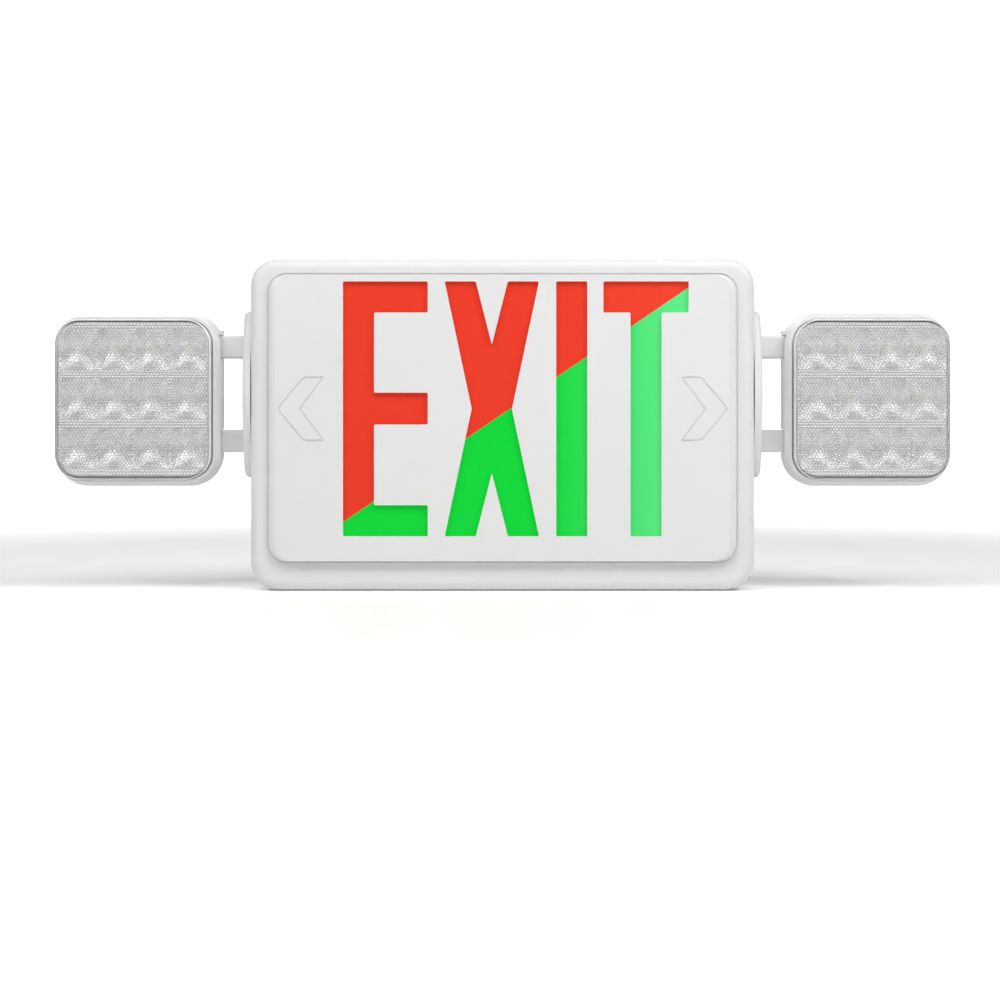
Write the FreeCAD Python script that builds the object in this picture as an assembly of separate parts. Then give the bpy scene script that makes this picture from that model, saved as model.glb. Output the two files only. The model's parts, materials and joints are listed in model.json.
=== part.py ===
"""Combination exit sign and emergency light with two square lamp heads.

Millimetres, +Z up. The wall is the plane Y = 0 and the front faces -Y. The origin is the centre of the
wire-entry hole in the back plate. "Depth" is the distance of a plane from the wall, so y = -depth.
"""
import FreeCAD
import Part
import math
import os

from FreeCAD import Vector

os.makedirs("parts", exist_ok=True)

# ---- Body -----------------------------------------------------------------------------------------
body_width = 303.0
body_height = 199.5
body_depth = 48.0
body_top_radius = 16.0
body_bottom_radius = 18.0
body_front_round = 6.0
housing_wall = 2.5

# ---- Face panel, raised from the rim ----------------------------------------------------------------
panel_side_margin = 10.2
panel_top_margin = 8.4
panel_bottom_margin = 16.5
panel_corner_radius = 11.0
panel_rise = 4.0
panel_side_slope = 5.0
panel_edge_slope = 0.8
panel_wall = 2.0
hook_height = 14.0
hook_thickness = 1.6
hook_barb = 1.0
hook_barb_length = 1.8
hook_centre_z = 50.0
hook_clearance = 0.3

# ---- Window in the housing's front wall, and the inserts over it -------------------------------------
window_side_margin = 14.0
window_top_margin = 4.0
window_bottom_margin = 9.0
insert_side_overlap = 4.5
insert_edge_overlap = 1.4
insert_corner_radius = 4.0
filter_thickness = 0.9
divide_slope = 0.679
divide_centre_z = 6.4

# ---- Light box behind the window --------------------------------------------------------------------
light_box_depth = 17.0
light_box_wall = 1.5
light_box_clearance = 0.7
strip_end_margin = 9.3
strip_width = 9.0
strip_thickness = 1.2
sign_led_size = 3.0
sign_led_height = 1.2
sign_leds_per_strip = 10
ear_length = 11.0
ear_height = 12.0
ear_thickness = 2.0
ear_centre_z = 60.0
ear_post_radius = 3.2
ear_post_length = 7.5

# ---- Back plate -------------------------------------------------------------------------------------
back_plate_thickness = 2.5
back_plate_clearance = 0.3
wire_hole_radius = 11.1
box_slot_spacing = 88.9
box_slot_radius = 2.3
box_slot_length = 12.0
wall_hole_spacing_x = 230.0
wall_hole_spacing_z = 140.0
wall_hole_radius = 2.5
plate_rib_height = 2.0
plate_rib_thickness = 1.5
plate_rib_half_width = 120.0
plate_rib_half_height = 60.0
corner_boss_inset = 11.0
corner_boss_radius = 4.0
corner_rib_thickness = 1.6

# ---- Screws -----------------------------------------------------------------------------------------
screw_radius = 1.4
screw_head_radius = 2.8
screw_head_height = 1.6
screw_grip = 6.0
screw_clearance = 0.3
screw_sink = 0.2
stake_radius = 1.5
stake_clearance = 0.2
stake_proud = 0.6

# ---- Electronics, carried by the light box's rear face -------------------------------------------------
board_thickness = 1.6
board_standoff = 2.0
board_standoff_radius = 3.0
main_board_left = 20.0
main_board_length = 100.0
main_board_bottom = -44.0
main_board_height = 70.0
board_hole_inset = 5.0
transformer_end_inset = 22.0
transformer_height = 36.0
core_length = 30.0
core_height = 26.0
core_thickness = 12.0
core_leg = 8.0
winding_length = 21.0
winding_height = 16.0
winding_thickness = 17.0
core_lift = 2.5
capacitor_offset = (48.0, 36.0)
capacitor_radius = 5.0
capacitor_length = 14.0
capacitor_pitch = 14.0
capacitor_bevel = 0.8
relay_offset = (22.0, 50.0)
relay_length = 18.0
relay_height = 12.0
relay_thickness = 11.0
terminal_offset = (15.0, 20.0)
terminal_length = 22.0
terminal_height = 9.0
terminal_thickness = 10.0
terminal_ways = 3
terminal_entry_radius = 2.0
terminal_well_radius = 1.8
terminal_well_depth = 4.0
cell_diameter = 14.5
cell_length = 50.0
cell_count = 3
battery_centre_x = -72.0
battery_centre_z = -15.0
clip_width = 14.0
clip_thickness = 1.5
clip_foot = 9.0
clip_clearance = 0.3
selector_offset = (56.0, 9.0)
selector_length = 12.0
selector_height = 6.0
selector_thickness = 5.0
selector_travel = 4.0
slider_sunk = 3.0
slider_length = 3.0
slider_height = 2.4
slider_proud = 3.0
slider_clearance = 0.3

# ---- Test button and pilot light, in the underside -----------------------------------------------------
button_x = 72.0
indicator_depth = 20.0
button_radius = 4.5
button_hole_clearance = 0.3
button_recess = 0.6
button_flange = 1.4
button_flange_thickness = 1.0
button_stem_radius = 1.6
button_stem_length = 5.2
button_travel = 2.0
switch_size = 10.0
switch_height = 7.0
switch_bore_depth = 5.6
stem_clearance = 0.3
indicator_board_length = 44.0
indicator_board_width = 16.0
indicator_board_lift = 10.6
indicator_post_radius = 2.5
pilot_offset = 16.0
pilot_radius = 2.5
pilot_hole_clearance = 0.3
pilot_recess = 0.8

# ---- Yoke: plate, two arms and hollow pivot in one moulding --------------------------------------------
pivot_depth = 28.0
pivot_z = 18.6
plate_gap = 0.25
plate_thickness = 5.0
plate_height = 101.4
plate_depth = 34.0
plate_tip_radius = 8.0
plate_edge_round = 3.4
arm_spacing = 57.1
arm_height = 13.7
arm_thickness = 10.0
arm_edge_round = 1.6
wire_channel_width = 4.0
wire_channel_depth = 2.4
pivot_radius = 7.0
pivot_bore_radius = 4.5
pivot_running_clearance = 0.1
pivot_tail = 1.0
washer_outer_radius = 10.6
washer_thickness = 0.8
washer_gap = 0.2
washer_bore_clearance = 0.25
nut_across_flats = 21.0
nut_thickness = 4.0
friction_ring_radius = 13.0
friction_ring_height = 1.0

# ---- Lamp head --------------------------------------------------------------------------------------
arm_window_width = 12.85
shell_width = 102.4
shell_height = 104.8
shell_corner_radius = 20.0
shell_wide_depth = 30.0
shell_rear_depth = 15.0
shell_rear_round = 14.0
shell_wall = 1.6
rim_depth = 44.0
rim_inset = 2.9
rim_corner_radius = 16.4
head_drop = 3.4
lens_front_depth = 54.0
lens_seat_depth = 41.0
lens_clearance = 0.3
lens_wall = 1.8
lens_edge_round = 1.6
ledge_thickness = 1.6
ledge_width = 3.3
hinge_inset = 4.4
hinge_pin_radius = 1.5
hinge_running_clearance = 0.08
lug_thickness = 3.0
lug_length = 8.4
lug_gap = 0.3
arm_slot_clearance = 0.4
swivel_swing = 20.0

cup_columns = 4
cup_rows = 3
cup_pitch_x = 22.0
cup_pitch_z = 29.5
cup_web_x = 0.8
cup_web_z = 4.6
cup_wall = 0.8
cup_depth = 10.0
cup_floor_size = 5.6
reflector_clearance = 0.4
reflector_web = 1.0
led_size = 3.5
led_height = 1.2
head_board_margin = 1.2
head_board_post_radius = 2.6

# ---- Derived planes ---------------------------------------------------------------------------------
half_width = body_width / 2
half_height = body_height / 2
front_wall_rear = body_depth - housing_wall
housing_inner_chamfer = 0.8 * housing_wall
panel_front = body_depth + panel_rise
panel_width = body_width - 2 * panel_side_margin
panel_top = half_height - panel_top_margin
panel_bottom = panel_bottom_margin - half_height
window_width = panel_width - 2 * window_side_margin
window_top = panel_top - window_top_margin
window_bottom = panel_bottom + window_bottom_margin
strip_length = window_width - 2 * strip_end_margin
insert_cavity = panel_rise - panel_wall
diffuser_thickness = insert_cavity - filter_thickness
box_rear = front_wall_rear - light_box_depth
board_rear = box_rear - board_standoff - board_thickness
transformer_x = main_board_left + main_board_length - transformer_end_inset
transformer_z = main_board_bottom + transformer_height
capacitor_x = main_board_left + capacitor_offset[0]
capacitor_z = main_board_bottom + capacitor_offset[1]
relay_x = main_board_left + relay_offset[0]
relay_z = main_board_bottom + relay_offset[1]
terminal_x = main_board_left + terminal_offset[0]
terminal_z = main_board_bottom + terminal_offset[1]
selector_x = main_board_left + selector_offset[0]
selector_z = main_board_bottom + selector_offset[1]
wall_inner_x = half_width - housing_wall
friction_face_x = wall_inner_x - friction_ring_height
plate_outer = half_width + plate_gap + plate_thickness
shell_inner_x = plate_outer + arm_window_width
head_x = shell_inner_x + shell_width / 2
head_z = pivot_z - head_drop
hinge_x = shell_inner_x + hinge_inset
board_front_in_head = lens_front_depth - lens_wall - reflector_clearance - cup_depth


# ---- Helpers ----------------------------------------------------------------------------------------
def rounded_wire(left, right, bottom, top, bottom_radius, top_radius, depth):
    """A closed rectangle with rounded corners, in the plane at this depth from the wall."""
    y = -depth
    edges = []
    corners = (
        (right, bottom, bottom_radius, -1, 1, -90.0),
        (right, top, top_radius, -1, -1, 0.0),
        (left, top, top_radius, 1, -1, 90.0),
        (left, bottom, bottom_radius, 1, 1, 180.0),
    )
    arcs = []
    for x, z, radius, toward_x, toward_z, start in corners:
        centre = Vector(x + toward_x * radius, y, z + toward_z * radius)
        points = [polar(centre, radius, start + turn) for turn in (0.0, 45.0, 90.0)]
        arcs.append(points)
    for index, points in enumerate(arcs):
        edges.append(Part.Arc(*points).toShape())
        following = arcs[(index + 1) % len(arcs)]
        edges.append(Part.makeLine(points[2], following[0]))
    return Part.Wire(edges)


def polar(centre, radius, degrees):
    """A point at this angle round a centre, in the XZ plane."""
    angle = math.radians(degrees)
    return centre + Vector(radius * math.cos(angle), 0, radius * math.sin(angle))


def slab(wire, thickness):
    """A flat plate from a wire, towards the front."""
    return Part.Face(wire).extrude(Vector(0, -thickness, 0))


def block(left, right, near, far, bottom, top):
    """A box between two X, two depths (near the wall, far from it) and two Z."""
    return Part.makeBox(right - left, far - near, top - bottom, Vector(left, -far, bottom))


def rod(radius, x, z, near, far):
    """A cylinder along the depth."""
    return Part.makeCylinder(radius, far - near, Vector(x, -near, z), Vector(0, -1, 0))


def upright(radius, x, depth, bottom, top):
    """A cylinder along Z."""
    return Part.makeCylinder(radius, top - bottom, Vector(x, -depth, bottom))


def sideways(radius, left, right, depth, z):
    """A cylinder along X."""
    return Part.makeCylinder(radius, right - left, Vector(left, -depth, z), Vector(1, 0, 0))


def edges_at(shape, test):
    """The edges whose every vertex and midpoint pass a test."""
    found = []
    for edge in shape.Edges:
        middle = edge.valueAt((edge.FirstParameter + edge.LastParameter) / 2)
        points = [vertex.Point for vertex in edge.Vertexes] + [middle]
        if all(test(point) for point in points):
            found.append(edge)
    return found


def round_at_depth(shape, radius, depth):
    """Rounds every edge that lies in the plane at this depth."""
    return shape.makeFillet(radius, edges_at(shape, lambda point: abs(point.y + depth) < 1e-4))


def bevelled_at_depth(shape, size, depth):
    """Bevels every edge that lies in the plane at this depth."""
    return shape.makeChamfer(size, edges_at(shape, lambda point: abs(point.y + depth) < 1e-4))


def fused(shapes):
    """One solid from several that touch."""
    return shapes[0].multiFuse(shapes[1:]).removeSplitter()


def screw(x, z, head_near, head_far, tip, toward_front):
    """A pan-head screw along the depth, with its head between two depths."""
    head = rod(screw_head_radius, x, z, head_near, head_far)
    span = (head_far, tip) if toward_front else (tip, head_near)
    return fused([head, rod(screw_radius, x, z, *span)])


def corners_of(half_x, half_z):
    """The four points of a rectangle about the origin."""
    return [(x, z) for x in (-half_x, half_x) for z in (-half_z, half_z)]


def export(name, shape):
    """Writes one named piece."""
    if not shape.isValid():
        raise ValueError(name + " is not a valid shape")
    shape.exportStep("parts/" + name + ".step")
    print(name, len(shape.Solids), round(shape.Volume / 1000, 2))


# ---- Body -------------------------------------------------------------------------------------------
corner_x = half_width - corner_boss_inset
corner_z = half_height - corner_boss_inset
corner_points = corners_of(corner_x, corner_z)


def body_outline(inset, depth):
    """The body's outline, drawn in by an inset."""
    return rounded_wire(inset - half_width, half_width - inset, inset - half_height, half_height - inset,
                        body_bottom_radius - inset, body_top_radius - inset, depth)


def corner_boss(x, z):
    """A back-plate screw boss in one corner, tied to both walls by ribs."""
    side = math.copysign(1, x)
    level = math.copysign(1, z)
    half_rib = corner_rib_thickness / 2
    boss = rod(corner_boss_radius, x, z, back_plate_thickness, front_wall_rear)
    to_side = sorted((x, side * (half_width - housing_wall / 2)))
    to_level = sorted((z, level * (half_height - housing_wall / 2)))
    side_rib = block(*to_side, back_plate_thickness, front_wall_rear, z - half_rib, z + half_rib)
    level_rib = block(x - half_rib, x + half_rib, back_plate_thickness, front_wall_rear, *to_level)
    return fused([boss, side_rib, level_rib])


def hook_spans():
    """The X span of each face-panel hook, right then left."""
    inner = window_width / 2 + insert_side_overlap + hook_clearance
    return ((inner, inner + hook_thickness), (-inner - hook_thickness, -inner))


def ear_posts():
    """The points where the light box is screwed to the housing."""
    return corners_of(window_width / 2 + ear_length - ear_post_radius + light_box_wall, ear_centre_z)


def front_housing():
    """The moulded body: one shell with a window, bosses, pivot holes and the openings underneath."""
    shell = round_at_depth(slab(body_outline(0, 0), body_depth), body_front_round, body_depth)
    hollow = slab(body_outline(housing_wall, 0), front_wall_rear)
    hollow = bevelled_at_depth(hollow, housing_inner_chamfer, front_wall_rear)
    shell = shell.cut(hollow)
    window = block(-window_width / 2, window_width / 2, front_wall_rear - 1, body_depth + 1,
                   window_bottom, window_top)
    inside = [corner_boss(x, z) for x, z in corner_points]
    ear_front = front_wall_rear - ear_post_length
    inside += [rod(ear_post_radius, x, z, ear_front, front_wall_rear) for x, z in ear_posts()]
    floor = housing_wall - half_height
    for x in indicator_post_places():
        post_top = indicator_board_bottom()
        inside.append(upright(indicator_post_radius, x, indicator_depth, floor, post_top))
        inside.append(upright(stake_radius, x, indicator_depth, post_top,
                              post_top + board_thickness + stake_proud))
    for side in (-1, 1):
        ring_span = sorted((side * wall_inner_x, side * friction_face_x))
        inside.append(sideways(friction_ring_radius, *ring_span, pivot_depth, pivot_z))
    shell = fused([shell] + inside)
    cuts = [window]
    for left, right in hook_spans():
        for level in (-1, 1):
            middle = level * hook_centre_z
            reach = hook_height / 2 + hook_clearance
            cuts.append(block(left - hook_clearance, right + hook_clearance, front_wall_rear - 1,
                              body_depth + 1, middle - reach, middle + reach))
    for x, z in corner_points:
        cuts.append(rod(screw_radius, x, z, back_plate_thickness, back_plate_thickness + screw_grip + 2))
    for x, z in ear_posts():
        cuts.append(rod(screw_radius, x, z, ear_front, ear_front + screw_grip))
    hole = pivot_radius + pivot_running_clearance
    cuts.append(sideways(hole, -half_width - 1, half_width + 1, pivot_depth, pivot_z))
    cuts.append(upright(button_radius + button_hole_clearance, button_x, indicator_depth,
                        -half_height - 1, floor + 0.01))
    cuts.append(upright(pilot_radius + pilot_hole_clearance, button_x - pilot_offset, indicator_depth,
                        -half_height - 1, floor + 0.01))
    return shell.cut(Part.makeCompound(cuts))


def panel_wire(side, edge, depth):
    """The face panel's outline, drawn in at its sides and at its top and bottom edges."""
    return rounded_wire(side - panel_width / 2, panel_width / 2 - side, panel_bottom + edge,
                        panel_top - edge, panel_corner_radius - edge, panel_corner_radius - edge, depth)


def stencil_face():
    """The snap-on face panel: a shallow tray with sloped sides and four hooks."""
    foot = panel_wire(0, 0, body_depth)
    front = panel_wire(panel_side_slope, panel_edge_slope, panel_front)
    outer = Part.makeLoft([foot, front], True, True)
    inner = slab(panel_wire(panel_wall + panel_side_slope / 2, panel_wall, body_depth), insert_cavity)
    hooks = []
    for left, right in hook_spans():
        outward = 1 if left > 0 else -1
        for level in (-1, 1):
            bottom = level * hook_centre_z - hook_height / 2
            top = bottom + hook_height
            barb_far = front_wall_rear - hook_clearance
            barb_near = barb_far - hook_barb_length
            leg = block(left, right, barb_near, panel_front - panel_wall, bottom, top)
            tip = block(left + outward * hook_barb, right + outward * hook_barb, barb_near, barb_far,
                        bottom, top)
            hooks.append(leg.fuse(tip))
    return fused([outer.cut(inner)] + hooks)


def insert_sheet(near, thickness):
    """A sheet that covers the window, inside the face panel."""
    reach = window_width / 2 + insert_side_overlap
    radius = insert_corner_radius
    outline = rounded_wire(-reach, reach, window_bottom - insert_edge_overlap,
                           window_top + insert_edge_overlap, radius, radius, near)
    return slab(outline, thickness)


def colour_filters():
    """The upper-left and lower-right filters, which meet on the sloping divide."""
    near = body_depth + diffuser_thickness
    sheet = insert_sheet(near, filter_thickness)
    points = [Vector(x, -near, divide_centre_z + divide_slope * x) for x in (-body_width, body_width)]
    points.append(Vector(body_width, -near, -body_width))
    points.append(Vector(-body_width, -near, -2 * body_width))
    below = slab(Part.makePolygon(points + points[:1]), filter_thickness)
    return sheet.cut(below), sheet.common(below)


def light_diffuser():
    """The white sheet between the lamps and the filters."""
    return insert_sheet(body_depth, diffuser_thickness)


def light_box():
    """The white tray behind the window, with four ears and the standoffs of what it carries."""
    half = window_width / 2 + light_box_clearance
    low = window_bottom - light_box_clearance
    high = window_top + light_box_clearance
    wall = light_box_wall
    outer = block(-half - wall, half + wall, box_rear, front_wall_rear, low - wall, high + wall)
    inner = block(-half, half, box_rear + wall, front_wall_rear + 1, low, high)
    ear_far = front_wall_rear - ear_post_length
    solids = [outer]
    for level in (-1, 1):
        middle = level * ear_centre_z
        solids.append(block(-half - wall - ear_length, half + wall + ear_length, ear_far - ear_thickness,
                            ear_far, middle - ear_height / 2, middle + ear_height / 2))
    for x, z in main_board_holes():
        solids.append(rod(board_standoff_radius, x, z, box_rear - board_standoff, box_rear))
    for x, z in clip_stakes():
        solids.append(rod(stake_radius, x, z, box_rear - clip_thickness - stake_proud, box_rear))
    ear_hole = screw_radius + screw_clearance
    holes = [rod(ear_hole, x, z, ear_far - ear_thickness - 1, ear_far + 1) for x, z in ear_posts()]
    for x, z in main_board_holes():
        holes.append(rod(screw_radius, x, z, box_rear - board_standoff - 1, main_board_screw_tip()))
    return fused(solids).cut(inner).cut(Part.makeCompound(holes))


def led_strip(level):
    """One strip board along the top (1) or the bottom (-1) wall of the light box, and its lamps."""
    edge = (window_top + light_box_clearance) if level > 0 else (window_bottom - light_box_clearance)
    inward = edge - level * strip_thickness
    near = box_rear + light_box_wall + 2
    board = block(-strip_length / 2, strip_length / 2, near, near + strip_width, *sorted((edge, inward)))
    pitch = strip_length / sign_leds_per_strip
    centre = near + strip_width / 2
    half = sign_led_size / 2
    lamps = []
    for index in range(sign_leds_per_strip):
        x = (index + 0.5) * pitch - strip_length / 2
        lamps.append(block(x - half, x + half, centre - half, centre + half,
                           *sorted((inward, inward - level * sign_led_height))))
    return board, lamps


def back_plate():
    """The flat back: wire entry, junction-box slots, wall holes, corner holes and stiffening ribs."""
    plate = slab(body_outline(housing_wall + back_plate_clearance, 0), back_plate_thickness)
    near = back_plate_thickness
    far = near + plate_rib_height
    half_x = plate_rib_half_width
    half_z = plate_rib_half_height
    thick = plate_rib_thickness
    frame = block(-half_x, half_x, near, far, -half_z, half_z)
    frame = frame.cut(block(thick - half_x, half_x - thick, near, far, thick - half_z, half_z - thick))
    cuts = [rod(wire_hole_radius, 0, 0, -1, far)]
    for side in (-1, 1):
        middle = side * box_slot_spacing / 2
        reach = box_slot_length / 2
        slot = rounded_wire(middle - reach, middle + reach, -box_slot_radius, box_slot_radius,
                            box_slot_radius - 1e-3, box_slot_radius - 1e-3, -1)
        cuts.append(slab(slot, back_plate_thickness + 2))
    for x, z in corners_of(wall_hole_spacing_x / 2, wall_hole_spacing_z / 2):
        cuts.append(rod(wall_hole_radius, x, z, -1, far))
    for x, z in corner_points:
        cuts.append(rod(screw_radius + screw_clearance, x, z, -1, far))
        cuts.append(rod(screw_head_radius + screw_clearance, x, z, -1, screw_sink + screw_head_height))
    return fused([plate, frame]).cut(Part.makeCompound(cuts))


def back_plate_screws():
    """Four screws, sunk in the back plate and driven into the corner bosses."""
    far = screw_sink + screw_head_height
    tip = back_plate_thickness + screw_grip
    return Part.makeCompound([screw(x, z, screw_sink, far, tip, True) for x, z in corner_points])


def light_box_screws():
    """Four screws through the light box's ears."""
    far = front_wall_rear - ear_post_length - ear_thickness
    tip = far + ear_thickness + screw_grip - 1
    near = far - screw_head_height
    return Part.makeCompound([screw(x, z, near, far, tip, True) for x, z in ear_posts()])


# ---- Electronics ------------------------------------------------------------------------------------
def main_board_holes():
    """The main board's four fixing points."""
    left = main_board_left + board_hole_inset
    right = main_board_left + main_board_length - board_hole_inset
    bottom = main_board_bottom + board_hole_inset
    top = main_board_bottom + main_board_height - board_hole_inset
    return [(x, z) for x in (left, right) for z in (bottom, top)]


def on_board(centre_x, centre_z, length, height, thickness):
    """A block that stands on the main board's rear face."""
    return block(centre_x - length / 2, centre_x + length / 2, board_rear - thickness, board_rear,
                 centre_z - height / 2, centre_z + height / 2)


def main_board_screw_tip():
    """The depth that the main board's screws reach."""
    return box_rear + light_box_wall - screw_sink


def main_circuit_board():
    """The charger and driver board."""
    board = block(main_board_left, main_board_left + main_board_length, board_rear,
                  board_rear + board_thickness, main_board_bottom, main_board_bottom + main_board_height)
    hole = screw_radius + screw_clearance
    return board.cut(Part.makeCompound([rod(hole, x, z, board_rear - 1, box_rear)
                                        for x, z in main_board_holes()]))


def main_board_screws():
    """Four screws that hold the main board to the light box."""
    near = board_rear - screw_head_height
    return Part.makeCompound([screw(x, z, near, board_rear, main_board_screw_tip(), True)
                              for x, z in main_board_holes()])


def transformer():
    """The laminated core, and the winding round its middle leg."""
    near = board_rear - core_lift - core_thickness
    far = near + core_thickness
    bottom = transformer_z - core_height / 2
    top = transformer_z + core_height / 2
    core = block(transformer_x - core_length / 2, transformer_x + core_length / 2, near, far, bottom, top)
    leg = block(transformer_x - core_leg / 2, transformer_x + core_leg / 2, near, far, bottom, top)
    coil = on_board(transformer_x, transformer_z, winding_length, winding_height, winding_thickness)
    winding = coil.cut(leg)
    return core.cut(winding), winding


def capacitors():
    """Two electrolytic cans, standing on the board."""
    cans = []
    for index in range(2):
        z = capacitor_z + index * capacitor_pitch
        can = rod(capacitor_radius, capacitor_x, z, board_rear - capacitor_length, board_rear)
        cans.append(bevelled_at_depth(can, capacitor_bevel, board_rear - capacitor_length))
    return Part.makeCompound(cans)


def relay():
    """The transfer relay."""
    return on_board(relay_x, relay_z, relay_length, relay_height, relay_thickness)


def terminal_block():
    """The mains terminals, with an entry and a screw well for each way."""
    body = on_board(terminal_x, terminal_z, terminal_length, terminal_height, terminal_thickness)
    pitch = terminal_length / terminal_ways
    rear = board_rear - terminal_thickness
    cuts = []
    for index in range(terminal_ways):
        x = terminal_x + (index + 0.5) * pitch - terminal_length / 2
        cuts.append(upright(terminal_entry_radius, x, board_rear - terminal_thickness / 2,
                            terminal_z - terminal_height / 2, terminal_z))
        cuts.append(rod(terminal_well_radius, x, terminal_z, rear, rear + terminal_well_depth))
    return body.cut(Part.makeCompound(cuts))


def colour_selector():
    """The red or green selector: its case, and the slider that runs in its slot."""
    case = on_board(selector_x, selector_z, selector_length, selector_height, selector_thickness)
    rest_x = selector_x - selector_travel / 2
    floor = board_rear - selector_thickness + slider_sunk
    half = slider_length / 2
    gap = slider_clearance
    slot = block(rest_x - half - gap, rest_x + half + selector_travel + gap,
                 board_rear - selector_thickness - 1, floor,
                 selector_z - slider_height / 2 - gap, selector_z + slider_height / 2 + gap)
    slider = block(rest_x - half, rest_x + half, board_rear - selector_thickness - slider_proud,
                   floor, selector_z - slider_height / 2, selector_z + slider_height / 2)
    return case.cut(slot), slider


def battery_pack():
    """Three cells side by side in one shrink sleeve."""
    radius = cell_diameter / 2
    half_x = cell_length / 2
    half_z = cell_count * cell_diameter / 2
    centre = box_rear - radius
    left = battery_centre_x - half_x
    ends = [sideways(radius, left, left + cell_length, centre, battery_centre_z + level * (half_z - radius))
            for level in (-1, 1)]
    middle = block(left, left + cell_length, centre - radius, centre + radius,
                   battery_centre_z - half_z + radius, battery_centre_z + half_z - radius)
    return fused([middle] + ends)


def clip_stakes():
    """The light box's two stakes through the feet of the battery clip."""
    reach = (cell_count * cell_diameter + clip_foot + clip_thickness) / 2 + clip_clearance
    return [(battery_centre_x, battery_centre_z + level * reach) for level in (-1, 1)]


def battery_clip():
    """A bent strap over the pack, with a foot at each end."""
    half = clip_width / 2
    reach = cell_count * cell_diameter / 2 + clip_clearance
    top = box_rear - cell_diameter - clip_clearance
    left = battery_centre_x - half
    right = battery_centre_x + half
    outer = block(left, right, top - clip_thickness, box_rear, battery_centre_z - reach - clip_thickness,
                  battery_centre_z + reach + clip_thickness)
    inner = block(left, right, top, box_rear, battery_centre_z - reach, battery_centre_z + reach)
    foot = block(left, right, box_rear - clip_thickness, box_rear,
                 battery_centre_z - reach - clip_foot, battery_centre_z + reach + clip_foot)
    holes = [rod(stake_radius + stake_clearance, x, z, top, box_rear) for x, z in clip_stakes()]
    return fused([outer, foot]).cut(inner).cut(Part.makeCompound(holes))


# ---- Test button and pilot light --------------------------------------------------------------------
def indicator_board_bottom():
    """The underside of the small board over the test button."""
    return housing_wall - half_height + indicator_board_lift


def indicator_post_places():
    """X of the posts that carry the small board."""
    middle = button_x - pilot_offset / 2
    reach = indicator_board_length / 2 - indicator_post_radius
    return middle - reach, middle + reach


def indicator_board():
    """The board that carries the test switch and the pilot light."""
    middle = button_x - pilot_offset / 2
    half = indicator_board_width / 2
    bottom = indicator_board_bottom()
    top = bottom + board_thickness
    board = block(middle - indicator_board_length / 2, middle + indicator_board_length / 2,
                  indicator_depth - half, indicator_depth + half, bottom, top)
    hole = stake_radius + stake_clearance
    return board.cut(Part.makeCompound([upright(hole, x, indicator_depth, bottom, top)
                                        for x in indicator_post_places()]))


def test_switch():
    """The push switch under the board, with the bore that the button's stem works in."""
    top = indicator_board_bottom()
    half = switch_size / 2
    body = block(button_x - half, button_x + half, indicator_depth - half, indicator_depth + half,
                 top - switch_height, top)
    bore = upright(button_stem_radius + stem_clearance, button_x, indicator_depth, top - switch_height,
                   top - switch_height + switch_bore_depth)
    return body.cut(bore)


def test_button():
    """The button: a cap in the underside's hole, a flange that keeps it in, and a stem."""
    floor = housing_wall - half_height
    cap = upright(button_radius, button_x, indicator_depth, button_recess - half_height, floor)
    flange_top = floor + button_flange_thickness
    flange = upright(button_radius + button_flange, button_x, indicator_depth, floor, flange_top)
    stem = upright(button_stem_radius, button_x, indicator_depth, flange_top,
                   flange_top + button_stem_length)
    return fused([cap, flange, stem])


def pilot_light():
    """A domed indicator lamp that hangs from the small board into its hole."""
    x = button_x - pilot_offset
    tip = pilot_recess - half_height
    body = upright(pilot_radius, x, indicator_depth, tip + pilot_radius, indicator_board_bottom())
    dome = Part.makeSphere(pilot_radius, Vector(x, -indicator_depth, tip + pilot_radius))
    return fused([body, dome])


# ---- Yoke, modelled on the right-hand side -------------------------------------------------------------
def arm_centres():
    """Z of the two arms."""
    return pivot_z - arm_spacing / 2, pivot_z + arm_spacing / 2


def yoke_arm(z):
    """One arm, with a barrel end for its hinge pin."""
    half = arm_height / 2
    thick = arm_thickness / 2
    bar = block(plate_outer - plate_thickness / 2, hinge_x, pivot_depth - thick, pivot_depth + thick,
                z - half, z + half)
    arm = fused([bar, upright(thick, hinge_x, pivot_depth, z - half, z + half)])
    rims = edges_at(arm, lambda point: abs(abs(point.z - z) - half) < 1e-4 and point.x > plate_outer - 1)
    return arm.makeFillet(arm_edge_round, rims)


def oval_wire(x):
    """The plate's oval: two flat side arcs, joined by a tangent arc at each tip."""
    half_long = plate_height / 2
    half_short = plate_depth / 2
    tip = plate_tip_radius
    # The side arcs' radius is the one that meets both tip arcs without a corner.
    side = (half_long**2 + half_short**2 - 2 * half_long * tip) / (2 * (half_short - tip))
    offset = side - half_short
    meet_angle = math.atan2(half_long - tip, offset)
    meet_y = side * math.cos(meet_angle) - offset
    meet_z = side * math.sin(meet_angle)

    def point(across, up):
        return Vector(x, across - pivot_depth, pivot_z + up)

    return Part.Wire([
        Part.Arc(point(meet_y, -meet_z), point(half_short, 0), point(meet_y, meet_z)).toShape(),
        Part.Arc(point(meet_y, meet_z), point(0, half_long), point(-meet_y, meet_z)).toShape(),
        Part.Arc(point(-meet_y, meet_z), point(-half_short, 0), point(-meet_y, -meet_z)).toShape(),
        Part.Arc(point(-meet_y, -meet_z), point(0, -half_long), point(meet_y, -meet_z)).toShape(),
    ])


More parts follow.
